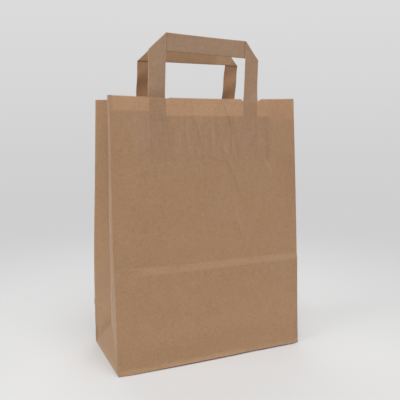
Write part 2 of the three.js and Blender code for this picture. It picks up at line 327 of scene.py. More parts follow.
def waves(u, z):
    """Slow waves of the whole panel, and small upright glue waves behind which the patch is stuck."""
    slow = 0.35 * np.sin(u / 31 + 0.8 + z / 90) * np.sin(z / 47 + 0.4) + 0.25 * np.sin(u / 53 - z / 38 + 2.0)
    glued = ease((z - 215) / 35) * ease((300 - z) / 14) * ease((86 - np.abs(u + 4)) / 10)
    small = 0.09 * np.sin((u + 0.2 * z) / 1.45 + 1.4 * np.sin(u / 9.5)) * np.sin(z / 14 + u / 11)
    return slow * ease(z / 40) * ease((half_width - np.abs(u)) / 25) + glued * small


def bottom_flare(u, z):
    """The paper swells out above the bottom fold by a (1 - z / h)^1.5, with h about 6 and a up to 1.6 mm."""
    h = 6.4 - 0.012 * u + 0.7 * np.sin(u / 17) * np.sin(u / 41 + 1)
    a = (0.9 + 0.7 * ease((u + 110) / 80)) * (1 - 0.85 * ease((u - 15) / 40))
    return a * np.clip(1 - z / h, 0, 1) ** 1.5


def front_relief(u, z):
    """Crease band, bulge above the bottom, flare, wrinkles and waves, in millimetres out of the panel."""
    below = np.maximum(crease_height - 0.0105 * u - z, 0)
    width = band_width - 0.0065 * u
    band = np.minimum(below / width, 1) * np.exp(-np.maximum(below - width, 0) / 60)
    ends = ease((119.5 + u) / 16) * ease((119.5 - u) / 8)
    bulge = (1.6 + 0.8 * ease((u - 20) / 60)) * ends * np.clip(1 - z / 70, 0, 1) ** 2
    crease = band_depth * band * ease((u + 120) / 50)
    return crease + bulge + bottom_flare(u, z) + wrinkle_relief(u, z) + waves(u, z)


def back_relief(u, z):
    """A soft ridge where the bottom was folded up, the flare, the wrinkles and the waves."""
    ridge = 0.6 * np.exp(-np.abs(z - 55) / 4)
    return ridge + bottom_flare(u, z) + wrinkle_relief(-u, z) + waves(u + 40, z)


print(len(wrinkles), "wrinkles, relief of the front up to", round(float(front_relief(0.0, 108.0)), 2), "mm")

# %% [markdown]
# ## Panels and gussets
# A gusset is folded inwards along its middle, but only above a point half a depth above the floor: below
# it, a flat end triangle leans in, and two slanting folds run from the bottom corners to its tip. So a
# gusset half has three parts that meet in one formula. The front half rounds softly off its outer fold,
# because in the photo its outer part still faces the camera; the rear half goes in straight.

# %% The six strips of the tube
rear_tilt = 0.13  # drop of the crease across the rear half of a gusset, per millimetre


def front_panel(s, z):
    """Straight between the two front folds at height z, bowed out by a little towards the mouth."""
    u = s - half_width
    (x0, y0), (x1, y1) = front_fold(z, -1), front_fold(z, 1)
    x = x0 + (x1 - x0) * s / (2 * half_width)
    y = y0 + (y1 - y0) * s / (2 * half_width)
    bow = front_bow * (z / front_height) ** 2 * (1 - (u / half_width) ** 2)
    return np.stack(np.broadcast_arrays(x, y - bow - front_relief(u, z), z), axis=-1)


def back_panel(s, z):
    """Between the two back folds, from right to left, and bowed out behind, most of all at the mouth.

    The bow is flat in the middle, where the patch stiffens the paper: 1 - (share of the half width)⁴.
    """
    u = s - half_width
    (x0, y0), (x1, y1) = back_fold(z, 1), back_fold(z, -1)
    x = x0 + (x1 - x0) * s / (2 * half_width)
    bow = back_bow * (z / back_height) ** 1.6 * (1 - (u / half_width) ** 4)
    return np.stack(np.broadcast_arrays(x, y0 + bow + back_relief(u, z), z), axis=-1)


def gusset_half(s, z, side, front):
    """Half a gusset, s from its outer fold (0) to its middle fold (half the depth).

    Up to the slanting fold, at s = z below the tip, the sheet runs in from the outer fold; from there on
    it lies in the end triangle. Above the tip the slanting fold has become the middle fold.
    """
    tip = half_depth
    reach = np.clip(z, 0.01, tip - 0.001)
    share = np.clip(s / np.where(z >= tip, tip, reach), 0, 1)
    beyond = np.where(z >= tip, 0, np.clip((s - reach) / (tip - reach), 0, 1))
    inset = np.where(z >= tip, middle_inset(z), middle_inset(tip) * z / tip)
    fold = front_fold if front else back_fold
    fold_x, fold_y = fold(z, side)
    middle_x = (front_fold(z, side)[0] + back_fold(z, side)[0]) / 2
    middle_y = (front_fold(z, side)[1] + back_fold(z, side)[1]) / 2
    tip_y = (front_fold(tip, side)[1] + back_fold(tip, side)[1]) / 2
    corner_y = fold(0.0, side)[1]
    slant_y = np.where(z >= tip, middle_y, corner_y + (tip_y - corner_y) * z / tip)
    y = fold_y + (slant_y - fold_y) * share + (middle_y - slant_y) * beyond
    crease = np.clip(1 - np.abs((s + z - 2 * tip) if front else (z - tip + rear_tilt * s)) / 6, 0, 1)
    drop = np.clip((z - s) / np.maximum(tip - s, 0.001), 0, 1)
    dimple = 1.5 * np.exp(-((s - 4) / 5) ** 2 - ((z - 14) / 9) ** 2)
    pillow = 0 if front else 30 * drop * (1 - drop) ** 2 * s / tip * (1 - s / tip) - dimple
    out = 0.8 * crease * (1 - share ** 4) + pillow
    x = fold_x + (middle_x - fold_x) * s / tip - side * (inset * share ** (3.6 if front else 1.1) - out)
    return np.stack(np.broadcast_arrays(x, y, z), axis=-1)


strips = [  # length of each strip and its surface, anticlockwise seen from above
    (2 * half_width, front_panel),
    (half_depth, lambda s, z: gusset_half(s, z, 1, True)),
    (half_depth, lambda s, z: gusset_half(half_depth - s, z, 1, False)),
    (2 * half_width, back_panel),
    (half_depth, lambda s, z: gusset_half(s, z, -1, False)),
    (half_depth, lambda s, z: gusset_half(half_depth - s, z, -1, True))]
front_strip, back_strip = 0, 3
strip_starts = 2 * [-half_width, half_width, -half_width - half_depth]  # map value at the start of each
print("tube", sum(length for length, surface in strips), "mm round")

# %% [markdown]
# ## Columns and rows
# The columns are 2.4 mm apart, which is the pitch of the saw teeth along the cut edge, and closer
# beside the folds, so that a fold is a narrow round bend and not a wide one. Towards the top the number
# of columns doubles, which puts a column on the tip and in the root of each tooth. The rows are close
# where there is something to show: at the bottom, at the crease band and under the cut edge.

# %% Columns round the tube and rows up the wall
def strip_columns(length):
    """Distances along a strip: close columns at both folds and even ones, about 2.4 mm apart, between."""
    close = np.array([0, 0.4, 0.9, 1.5])
    even = np.linspace(1.5, length - 1.5, round((length - 3) / 2.4) + 1)[1:-1]
    return np.concatenate([close, even, length - close[:0:-1]])


def between(start, stop, size):
    """Evenly spaced values from start up to but without stop, about size apart."""
    return np.linspace(start, stop, round((stop - start) / size), endpoint=False)


columns = [strip_columns(length) for length, surface in strips]
columns_fine = [np.stack([s, (s + np.append(s[1:], length)) / 2], axis=1).ravel()
                for s, (length, surface) in zip(columns, strips)]
lower_rows = np.concatenate([[0, 0.5, 1.0, 1.6, 2.6, 4.0, 6.0], between(8, 60, 2.2), between(60, 102, 6),
                             between(102, 122, 1.1), between(122, 226, 7.5), [226]])
plain_top = 304.2  # above it the rows follow the cut edge
upper_rows = between(228.7, plain_top, 2.7)
print(sum(map(len, columns)), "columns,", len(lower_rows) + len(upper_rows), "rows")

# %% [markdown]
# ## The cut edge
# Such a bag is cut by a toothed knife, so its upper edge is a fine saw. On the front it is lowest in the
# middle, and on both panels it has shallow notches where the handles leave the bag. Every second column
# of the fine grid ends in the root of a tooth. The sizes of the handles are needed here already.

# %% The cut edge
edge_height, edge_lift = 308.3, 0.65  # handles are measured from the first; the cut edge is a little higher
tooth_depth, left_notch, right_notch, notch_margin = 1.1, 0.9, 2.1, 1.8
gusset_ends = {1: (310.9, 309.2), 2: (309.2, 308.6), 4: (307.7, 308.6), 5: (308.6, 310.5)}
handle_shift, handle_span, tape_width, leg_length = -4.2, 139.4, 19.8, 57.0
front_slant, back_slant = 0.024, -0.058  # how far the legs run sideways, per millimetre of height
leg_reach = (handle_span - tape_width) / 2  # from the middle of a handle to the middle of a leg


def cut_edge(u, front):
    """Height of the cut edge of a wide panel: a shallow curve, lowered by a notch at each leg."""
    rise, tilt = (1.9, 0.0034) if front else (-0.7, -0.004)
    curve = edge_height + edge_lift + rise * (u / 118) ** 2 + tilt * u
    leg_middle = handle_shift + np.where(u < handle_shift, -1, 1) * leg_reach
    beside = np.abs(u - leg_middle - 1) - tape_width / 2 - notch_margin
    depth = np.where(u < handle_shift, left_notch, right_notch)
    return curve - depth * ease(1 - beside / 2)


edge_parts = []
for index, ((length, surface), s) in enumerate(zip(strips, columns_fine)):
    if index in gusset_ends:
        height = np.interp(s, [0, length], gusset_ends[index])
    else:
        height = cut_edge(s - half_width, index == front_strip)
    sawn = np.where(np.arange(len(s)) % 2 == 0, 0.5, -0.5) * ease((np.minimum(s, length - s) - 1) / 2)
    edge_parts.append(height - tooth_depth * (0.5 + sawn))
edge_line = np.concatenate(edge_parts)
print("cut edge from", edge_line.min().round(1), "to", edge_line.max().round(1), "mm")

# %% [markdown]
# ## Round folds
# Paper bends in a small radius, never in a knife edge, and light catches that radius as a thin line.
# Rounding is done in one formula: near a fold the sheet is moved towards the inside of the bend by the
# parabola that leaves both sides tangent.

# %% Evaluate the tube and round its folds
def unit(vectors):
    """The vectors divided by their lengths."""
    return vectors / np.linalg.norm(vectors, axis=-1, keepdims=True)


def tube(column_sets, heights, reach):
    """All six strips at the given heights (rows, columns), side by side, with their long folds rounded.

    At a distance d from a fold, less than r, the sheet moves by r / 4 (1 - d / r)² times the change of
    direction across the fold. The directions are taken over reach columns on each side.
    """
    radius = 0.55
    starts = np.cumsum([0] + [len(s) for s in column_sets])
    parts = [surface(s[None, :], heights[:, start:start + len(s)])
             for (length, surface), s, start in zip(strips, column_sets, starts)]
    points = np.concatenate(parts, axis=1)
    total = points.shape[1]
    moved = points.copy()
    for index, start in enumerate(starts[:-1]):
        before = points[:, start] - points[:, start - reach]
        after = points[:, (start + reach) % total] - points[:, start]
        turn = unit(after) - unit(before)
        near = np.concatenate([strips[index - 1][0] - column_sets[index - 1][-reach:],
                               column_sets[index][:reach]])
        where = np.arange(start - reach, start + reach) % total
        weight = radius / 4 * np.clip(1 - near / radius, 0, 1) ** 2
        moved[:, where] += weight[None, :, None] * turn[:, None, :]
    return moved


count = sum(map(len, columns))
wall = tube(columns, np.repeat(lower_rows[:, None], count, axis=1), reach=4)
top_heights = np.concatenate([np.repeat(upper_rows[:, None], 2 * count, axis=1),
                              [(plain_top + edge_line) / 2, edge_line - 0.2, edge_line]])
upper_wall = tube(columns_fine, top_heights, reach=8)
print("lower wall", wall.shape[:2], "upper wall", upper_wall.shape[:2])

# %% [markdown]
# ## Block bottom
# The bottom is made of the same sheet: the end triangles fold in first, then the back and the front
# flap fold over them and overlap by 26 mm in the middle. Each flap narrows towards the corners,
# where the folds meet. The flaps lie on each other, so each has its own level, and they start at the
# same bottom fold, which is rounded like the long folds.

# %% The bottom flaps
flap_overlap, flap_gap = 26, 0.2
flap_shares = np.array([1, 0.997, 0.85, 0.66, 0.48, 0.32, 0.19, 0.1, 0.05, 0.0235, 0.0147, 0.0074])
flap_kinds = {front_strip: ((0, 1, 0), 0), back_strip: ((0, -1, 0), flap_gap)}
depth_parts, inward_parts, level_parts = [], [], []
for index, s in enumerate(columns):
    length = strips[index][0]
    if index in flap_kinds:
        depth_parts.append(np.minimum(half_depth + flap_overlap / 2, np.minimum(s, length - s)))
        inward, level = flap_kinds[index]
    else:
        depth_parts.append(s if index in (1, 4) else length - s)
        inward, level = (-1 if index < back_strip else 1, 0, 0), 2 * flap_gap
    inward_parts.append(np.repeat([inward], len(s), axis=0))
    level_parts.append(np.full(len(s), float(level)))
flap_depth = np.concatenate(depth_parts)
inward = np.concatenate(inward_parts).astype(float)
level = np.concatenate(level_parts)

flap_out = flap_shares[:, None] * flap_depth[None, :]
flaps = wall[:1] + flap_out[..., None] * inward[None]
front_u = columns[0] - half_width
lift = np.zeros(count)
lift[:len(front_u)] = 0.4 * ease((front_u + 118) / 150) * ease((120 - front_u) / 45)
flaps[..., 2] = level[None] * ease(flap_out / 12) + lift[None] * np.exp(-flap_out / 12)
wall[..., 2] += lift[None] * np.exp(-lower_rows / 10)[:, None]
bottom_radius = 1.5
bend = inward + np.array([0, 0, 1.0])
flaps += (bottom_radius / 4 * np.clip(1 - flap_out / bottom_radius, 0, 1) ** 2)[..., None] * bend
round_rows = bottom_radius / 4 * np.clip(1 - lower_rows / bottom_radius, 0, 1) ** 2
wall = wall + round_rows[:, None, None] * bend[None]
print("flaps", flaps.shape[:2], "deepest", round(float(flap_depth.max()), 1), "mm")

# %% [markdown]
# ## One mesh from the grids
# The flaps and the lower wall are one grid, and the finer upper wall sits on it with one row of
# five-sided faces, so nothing comes apart. A map in millimetres goes with it: along the panel, counted
# from its middle, and the height, negative on the flaps. The Solidify modifier then gives the sheet
# its thickness inwards.

# %% Helpers that make a mesh
paper_thickness = 0.15


def make_piece(name, points, faces, corner_map, material):
    """Makes a smooth mesh object from points in mm, faces and one map value in mm for each face corner."""
    mesh = bpy.data.meshes.new(name)
    mesh.from_pydata((points * MM).tolist(), [], faces)
    layer = mesh.uv_layers.new(name="paper_map")
    layer.data.foreach_set("uv", (np.asarray(corner_map) * MM).ravel())
    mesh.polygons.foreach_set("use_smooth", np.ones(len(mesh.polygons), dtype=bool))
    mesh.materials.append(material)
    mesh.update()
    return add_object(name, mesh)


def thicken(piece):
    """Gives the sheet of a piece the thickness of the paper, on the side behind its faces."""
    solid = piece.modifiers.new("paper thickness", "SOLIDIFY")
    solid.thickness, solid.offset = paper_thickness * MM, -1


def grid_faces(rows, row_length, wrap, first=0):
    """Quads of a grid of points, as index arrays of shape (quads, 4)."""
    r, c = np.meshgrid(np.arange(rows - 1), np.arange(row_length - (0 if wrap else 1)), indexing="ij")
    n = (c + 1) % row_length
    quads = np.stack([r * row_length + c, r * row_length + n, (r + 1) * row_length + n,
                      (r + 1) * row_length + c], axis=-1)
    return first + quads.reshape(-1, 4)


def grid_map(u, u_next, heights):
    """Map values of the corners of grid_faces: each cell keeps its own strip's u at both of its sides."""
    low, high = heights[:-1], heights[1:]
    low_next, high_next = np.roll(low, -1, axis=1), np.roll(high, -1, axis=1)
    u, u_next = np.broadcast_to(u, low.shape), np.broadcast_to(u_next, low.shape)
    corners = np.stack([np.stack([u, low], -1), np.stack([u_next, low_next], -1),
                        np.stack([u_next, high_next], -1), np.stack([u, high], -1)], axis=2)
    return corners.reshape(-1, 2)


def strip_places(column_sets):
    """Map value along the panel of each column, and of the end of each column's cell."""
    u = [start + s for start, s in zip(strip_starts, column_sets)]
    ends = [np.append(part[1:], start + length)
            for part, start, (length, surface) in zip(u, strip_starts, strips)]
    return np.concatenate(u), np.concatenate(ends)


print("paper", paper_thickness, "mm thick")

# %% [markdown]
# ## Marks on the bag's paper
# Thin paper lets light through, so the eye sees where something is stuck behind it: the single layer
# at the mouth glows, and the patch and the legs look greyer. This light and shade is painted into the
# colour, together with painted highlights on folds and creases and painted shade in grooves, corners,
# on the gussets and under the bottom fold. The marks are painted with the map of the sheet, as soft
# rectangles along the panel and the height, so they stay where the pieces are.

# %% Helpers for marks
def overlap(tree, *masks):
    """Mask of where all the given masks are: their product.

    (value, start, end) stands for a soft step 3 t² - 2 t³ from 0 at start to 1 at end, in millimetres. With
    a fourth value it is a window, which is 1 from start to end and fades out over that edge.
    """
    made = []
    for mask in masks:
        if not isinstance(mask, tuple):
            made.append(mask)
            continue
        value, start, end, *edge = mask
        steps = [(start, end)]
        if edge:
            fade = edge[0] / 2
            steps = [(start - fade, start + fade), (end + fade, end - fade)]
        made += [add_node(tree, "MapRange", {"Value": value, "From Min": zero * MM, "From Max": one * MM},
                          interpolation_type="SMOOTHSTEP") for zero, one in steps]
    result = made[0]
    for factor in made[1:]:
        result = add_node(tree, "Math", {0: result, 1: factor}, operation="MULTIPLY")
    return result


def tint(tree, colour, mask, factors):
    """The colour times the factors where the mask is 1. The factors are three numbers or a node."""
    factors = (*factors, 1) if isinstance(factors, tuple) else factors
    changed = add_node(tree, "Mix", {"Factor": 1.0, "A": colour, "B": factors}, data_type="RGBA",
                       blend_type="MULTIPLY")
    return add_node(tree, "Mix", {"Factor": mask, "A": colour, "B": changed.outputs["Result"]},
                    data_type="RGBA").outputs["Result"]


paper, tree, paper_colour, shader = paper_finish("unbleached brown paper", "#996f4a", "#b18f6f")
paper_map = add_node(tree, "UVMap", {}, uv_map="paper_map")
panel_u, panel_v = add_node(tree, "SeparateXYZ", {0: paper_map}).outputs[:2]
outside_u = add_node(tree, "Math", {0: panel_u}, operation="ABSOLUTE")
past_fold = add_node(tree, "Math", {0: outside_u, 1: half_width * MM}, operation="SUBTRACT")
spot_y = add_node(tree, "SeparateXYZ", {0: add_node(tree, "TexCoord", {}).outputs["Object"]}).outputs[1]
front_half = add_node(tree, "Math", {0: spot_y, 1: 0.0}, operation="LESS_THAN")
back_half = add_node(tree, "Math", {0: 1.0, 1: front_half}, operation="SUBTRACT")
left_half = add_node(tree, "Math", {0: panel_u, 1: 0.0}, operation="LESS_THAN")
print("paper of the bag has its map")

# %% [markdown]
# Some masks serve several marks, so they are made first. The handles are glued on a little askew, so
# the mask of the legs slants with them.

# %% Masks of what is stuck behind the panel
leg_end = edge_height - leg_length
patch_length, patch_height, patch_drop = 172, 54, 20
patch_left, patch_right = handle_shift - patch_length / 2, handle_shift + patch_length / 2
patch_high = edge_height - patch_drop
patch_low = patch_high - patch_height
slant = add_node(tree, "Math", {0: front_half, 1: back_slant - front_slant, 2: -back_slant},
                 operation="MULTIPLY_ADD")
above_edge = add_node(tree, "Math", {0: panel_v, 1: edge_height * MM}, operation="SUBTRACT")
from_leg = add_node(tree, "Math", {0: above_edge, 1: slant, 2: panel_u}, operation="MULTIPLY_ADD")
for middle in (handle_shift, leg_reach):
    beside = add_node(tree, "Math", {0: from_leg, 1: middle * MM}, operation="SUBTRACT")
    from_leg = add_node(tree, "Math", {0: beside}, operation="ABSOLUTE")
leg_mark = overlap(tree, (from_leg, tape_width / 2 + 0.4, tape_width / 2 - 0.4),
                   (panel_v, leg_end - 0.3, leg_end + 0.7))
no_leg = add_node(tree, "Math", {0: 1.0, 1: leg_mark}, operation="SUBTRACT")
rim_v = add_node(tree, "Math", {0: left_half, 1: -0.9 * MM, 2: panel_v}, operation="MULTIPLY_ADD")
patch_mark = overlap(
    tree, (panel_u, patch_left - 1.8, patch_left + 6.2), (panel_u, patch_right + 0.2, patch_right - 0.6),
    (panel_v, patch_low - 0.8, patch_low + 4.2), (panel_v, patch_high + 0.9, patch_high + 0.1))
print("masks of the legs and the patch")

# %% [markdown]
# Then come the folds. Each wrinkle of the relief gets a faint spindle of painted tone along its line:
# painted light on a ridge and painted shade in a groove. A Mapping node brings the line to the origin
# and its length and width to one, and a spherical gradient fades from there. The glue waves over the
# patch get streaks of painted light and shade.

# %% Masks of folds and of painted light and shade
from_fold = add_node(tree, "Math", {0: past_fold}, operation="ABSOLUTE")
uneven = add_node(tree, "TexNoise", {"Vector": paper_map, "Scale": 1 / (30 * MM), "Detail": 1.0})
strip_v = add_node(tree, "Math", {0: uneven, 1: 8 * MM, 2: panel_v}, operation="MULTIPLY_ADD")
gusset = overlap(tree, (outside_u, 120.5, 124))
slanted_v = add_node(tree, "Math", {0: panel_v, 1: past_fold}, operation="SUBTRACT")
inward_v = add_node(tree, "Math", {0: past_fold, 1: rear_tilt, 2: panel_v}, operation="MULTIPLY_ADD")
level_v = add_node(tree, "Math", {0: panel_u, 1: 0.0075, 2: panel_v}, operation="MULTIPLY_ADD")
# painted light on the ridges of the wrinkles and painted shade in their grooves
folds = 1.0
for (u0, z0), (u1, z1), height, width in wrinkles:
    line = add_node(tree, "Mapping", {
        "Vector": paper_map, "Location": ((u0 + u1) / 2 * MM, (z0 + z1) / 2 * MM, 0),
        "Rotation": (0, 0, math.atan2(z1 - z0, u1 - u0)),
        "Scale": (0.6 * math.hypot(u1 - u0, z1 - z0) * MM, 1.5 * width * MM, 1)}, vector_type="TEXTURE")
    spindle = add_node(tree, "TexGradient", {"Vector": line}, gradient_type="SPHERICAL")
    folds = add_node(tree, "Math", {0: spindle.outputs["Fac"], 1: 0.45 * height, 2: folds},
                     operation="MULTIPLY_ADD")
# streaks of painted light and shade where the paper waves over the glued patch
upright = add_node(tree, "Mapping", {"Vector": paper_map, "Scale": (1 / (5 * MM), 1 / (45 * MM), 1)})
streaks = add_node(tree, "TexNoise", {"Vector": upright, "Scale": 1.0, "Detail": 2.0})
glue_wave_shading = add_node(tree, "Math", {0: streaks, 1: 0.22, 2: 0.89}, operation="MULTIPLY_ADD")
print("masks of the gussets and tones of", len(wrinkles), "wrinkles")

# %% [markdown]
# Each mark multiplies the red, green and blue of the paper. Factors over one paint light, as where
# light comes through a single layer or a fold catches it, and factors under one paint shade or a greyer
# tone. The patch shows best at its right end, and each front leg has a painted highlight where the cut
# edge crosses it.

# %% Paint the marks
marks = [  # what it is, its colour factors, and the masks that overlap where it is
    # painted light on the ridges and painted shade in the grooves of the wrinkles
    ("wrinkles of the front", folds, front_half),
    # streaks of painted light and shade over the glued patch
    ("glue waves", glue_wave_shading, patch_mark),
    # painted shade on the sides: the gussets are darker and warmer than the front, a little less warm low
    # down
    ("gussets", (0.955, 0.93, 0.88), gusset),
    ("lower gussets", (0.96, 1.0, 1.01), gusset, (panel_v, 170, 80)),
    # painted shade over the bright edge of the gussets beside the front, high up
    ("gussets beside the front, high up", (0.95, 0.92, 0.88), front_half, (outside_u, 120.2, 127, 1),
     (panel_v, 190, 260)),
    # painted shade in the groove of the slanting folds
    ("slanting folds", (0.9, 0.87, 0.84), gusset, (slanted_v, -0.3, 1.0, 0.8), (panel_v, 60, 50)),
    # painted shade in the bottom corners
    ("bottom corners", (0.77, 0.72, 0.66), (outside_u, 119, 121), (outside_u, 129, 120.5), (panel_v, 48, 6),
     (slanted_v, -1.0, 1.0)),
    # painted highlight along the crease of the rear gusset halves
    ("crease of the rear gusset halves", (1.06, 1.08, 1.1), gusset, back_half, (inward_v, 54.0, 56.5, 1.6)),
    # painted highlight on the crease band, which is also shaped in the relief
    ("crease band", (1.02, 1.045, 1.075), front_half, (level_v, 109.6, 117.7, 1.0), (panel_u, -122, -75),
     (outside_u, 120, 119)),
    ("single layer in the middle", (1.2, 1.2, 1.23), no_leg, (panel_v, patch_high + 0.1, patch_high + 0.9),
     (panel_u, -64, 82, 4)),
    ("pale spot under it", (1.05, 1.08, 1.11), front_half, (panel_u, -18, 6, 16), (panel_v, 276, 288)),
    ("single layer at the left", (1.22, 1.21, 1.23), no_leg, (panel_v, 292.5, 295.5), (panel_u, -62, -66),
     (panel_u, -122, -112)),
    ("single layer at the right", (1.19, 1.16, 1.16), (panel_v, 276, 304), (panel_u, 80, 84),
     (panel_u, 120.5, 119.5)),
    ("patch", (0.97, 0.985, 1.01), patch_mark),
    ("legs above the patch", (0.92, 0.935, 0.95), leg_mark, (panel_v, patch_high - 0.8, patch_high + 0.7)),
    ("legs at the patch", (0.965, 0.99, 1.03), leg_mark, (panel_v, patch_high + 0.7, patch_high - 0.8)),
    ("left leg at the patch's upper edge", (0.92, 0.91, 0.92), front_half, leg_mark, (panel_v, 281, 289, 3),
     (panel_u, -40, -60)),
    ("left end of the patch", (1.03, 1.06, 1.13), front_half, (panel_u, -94, -77, 8),
     (panel_v, 250, 291, 14)),
    ("shade at the right", (0.96, 0.915, 0.9), front_half, (panel_u, 80, 108), (panel_v, 190, 245, 50)),
    ("right end of the patch", (0.93, 0.92, 0.96), front_half, patch_mark,
     (panel_u, patch_right - 6.8, patch_right - 4.8)),
    # painted highlight along the long folds, fading out high up
    ("worn folds", (1.04, 1.06, 1.08), (from_fold, 1.1, 0.2), (panel_v, 290, 200)),
    # painted shade, darker towards the bottom
    ("dirt above the bottom", (0.925, 0.93, 0.915), (panel_v, 0, 8), (panel_v, 46, 18)),
    # painted highlight on the flare above the bottom fold, which is also shaped in the relief
    ("worn strip at the bottom", (1.02, 1.05, 1.1), (strip_v, 11.5, 8.0), (panel_v, -3.0, 0.0)),
    # painted shadow under the front bottom fold, on top of the real shadow of its small lift
    ("dark line at the bottom", (0.2, 0.14, 0.12), front_half, (panel_v, -4.0, 1.0, 0.5),
     (panel_u, -125, -40)),
    # painted highlight where the cut edge crosses the front legs
    ("cut edge over the legs", (1.17, 1.2, 1.25), front_half, leg_mark, (rim_v, 305.8, 306.3))]
marked = paper_colour
for name, factors, *masks in marks:
    marked = tint(tree, marked, overlap(tree, *masks), factors)
    print("painted:", name)
tree.links.new(marked, shader.inputs["Base Color"])
print("paper of the bag:", len(tree.nodes), "nodes")

# %% [markdown]
# The tube is closed by a lap: the end of the sheet goes on past the back left fold and is glued to the
# inside of the back. It is a second small grid, one thickness of paper and of glue inside the panel.

# %% Build the bag
lap_width, lap_clear, lap_glue = 14, 1.1, 0.08
low_grid = np.concatenate([flaps, wall])
low_heights = np.concatenate([-flap_out, np.repeat(lower_rows[:, None], count, axis=1)])
quads = grid_faces(len(low_grid), count, True)
u, u_next = strip_places(columns)
low_map = grid_map(u, u_next, low_heights)

first = low_grid.shape[0] * count
j = np.arange(count)
below = first - count
five = np.stack([below + j, below + (j + 1) % count, first + (2 * j + 2) % (2 * count), first + 2 * j + 1,
                 first + 2 * j], axis=-1)
height_a, height_b = np.full(count, lower_rows[-1]), np.full(count, upper_rows[0])
five_map = np.stack([np.stack([u, height_a], -1), np.stack([u_next, height_a], -1),
                     np.stack([u_next, height_b], -1), np.stack([(u + u_next) / 2, height_b], -1),
                     np.stack([u, height_b], -1)], axis=1).reshape(-1, 2)

fine_quads = grid_faces(len(upper_wall), 2 * count, True, first)
fine_map = grid_map(*strip_places(columns_fine), top_heights)

back_s = columns_fine[back_strip]
lap_column = (back_s > 2 * half_width - lap_width) & (back_s < 2 * half_width - lap_clear)
lap_s = back_s[lap_column]
back_start = sum(map(len, columns_fine[:back_strip]))
lap_top = edge_line[back_start:back_start + len(back_s)][lap_column]
lap_heights = np.concatenate([lower_rows[3:], upper_rows])
lap_rows = np.concatenate([np.repeat(lap_heights[:, None], len(lap_s), axis=1), [lap_top - 0.3]])
lap = back_panel(lap_s, lap_rows) - [0, paper_thickness + lap_glue, 0]
lap_quads = grid_faces(*lap_rows.shape, False, first + upper_wall.shape[0] * 2 * count)
lap_map = grid_map(lap_s - half_width, np.roll(lap_s, -1) - half_width, lap_rows)
lap_map = lap_map.reshape(-1, len(lap_s), 4, 2)[:, :-1].reshape(-1, 2)

points = np.concatenate([low_grid.reshape(-1, 3), upper_wall.reshape(-1, 3), lap.reshape(-1, 3)])
faces = quads.tolist() + five.tolist() + fine_quads.tolist() + lap_quads.tolist()
bag = make_piece("bag_sheet", points, faces, np.concatenate([low_map, five_map, fine_map, lap_map]), paper)

merge = bmesh.new()
merge.from_mesh(bag.data)
bmesh.ops.remove_doubles(merge, verts=merge.verts[:], dist=0.0002 * MM)
merge.to_mesh(bag.data)
merge.free()

thicken(bag)
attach(bag, "root")
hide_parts("bag_body")
print("bag sheet", len(bag.data.polygons), "faces")

# %% [markdown]
# ## Handles
# A handle is one flat tape, several plies of paper thick. It goes up from the glue, is folded over at 45
# degrees, runs across as the grip and is folded over again, so at both corners there is a triangle of
# two layers and the grip lies behind the legs. A curve with a bevel can't make that fold, so the flat
# tape is folded by a formula instead: each point of the tape goes to its place on the leg, round the
# bend or on the mirrored side of it. The rows of the grid are slanted at the corners to run along the
# fold line.

# %% The flat tape and its fold
tape_thickness, fold_radius, glue_line = 0.6, 0.35, 0.1
front_rise, back_rise = 69.25, 67.4  # of the grips above the edge height


def folded_tape(along, across, rise):
    """Place (x, height, depth) and face direction of points of the flat tape, up one leg and along the grip.

    With d the distance beyond the fold line, a point keeps its distance up to d = 0, goes round half a turn
    of the small radius r, and from d = pi r on lies mirrored in the fold line, 2 r deeper.
    """
    x = across - leg_reach
    height = along - leg_length
    fold_x, fold_h = -handle_span / 2, rise - tape_width - math.pi * fold_radius / math.sqrt(2)
    d = ((height - fold_h) - (x - fold_x)) / math.sqrt(2)
    turn = np.clip(d / fold_radius, 0, math.pi)
    landed = np.minimum(d, 0) + fold_radius * np.sin(turn) - np.maximum(d - math.pi * fold_radius, 0)
    shift = (landed - d) / math.sqrt(2)
    place = np.stack([x - shift, height + shift, fold_radius * (1 - np.cos(turn))], axis=-1)
    facing = np.stack([-np.sin(turn) / math.sqrt(2), np.sin(turn) / math.sqrt(2), -np.cos(turn)], axis=-1)
    return place, facing


def tape_rows(rise):
    """Row places along the tape and how far each row is slanted, for the whole length of the tape."""
    fold = leg_length + rise - tape_width / 2
    half = leg_length + rise - tape_width + handle_span / 2
    bend = fold + np.linspace(-0.15, 1.15, 14) * math.sqrt(2) * math.pi * fold_radius - 0.8
    first = np.concatenate([between(0, fold - 3, 3), bend, between(fold + 3.5, half, 3)])
    rows = np.concatenate([first, [half], 2 * half - first[::-1]])
    slant = ease(1 - np.abs(first - fold) / 42)
    return rows, np.concatenate([slant, [0], -slant[::-1]]), half


def tape_profile():
    """Cross section of the tape: two flat faces joined by half round edges, as (across, out of the face)."""
    flat = np.linspace(-1, 1, 12) * (tape_width - tape_thickness) / 2
    turn = np.linspace(0, np.pi, 7)[1:-1]
    edge = np.stack([np.sin(turn), np.cos(turn)], axis=1) * tape_thickness / 2
    top = np.stack([flat, np.full(12, tape_thickness / 2)], axis=1)
    right = edge + [(tape_width - tape_thickness) / 2, 0]
    return np.concatenate([top, right, -top, -right])


profile = tape_profile()
print("tape", tape_width, "x", tape_thickness, "mm,", len(profile), "points round its edge")

# %% [markdown]
# The legs lie on the inside of their panel and follow its waves, and above the cut edge the tape is
# free: the front handle comes upright, and the back one goes on in the line of its leaning panel. The
# back handle is made in the same way, in a frame that is turned half a turn about the vertical, and its
# points are turned at the end.

# %% Where the handles stand
left_leg, right_leg = -64, 56  # along the panel, where a free handle takes its level from
bend_height, level_height, slope_height = 10, 45, 20
no_turn, half_turn = [1, 1, 1], [-1, -1, 1]


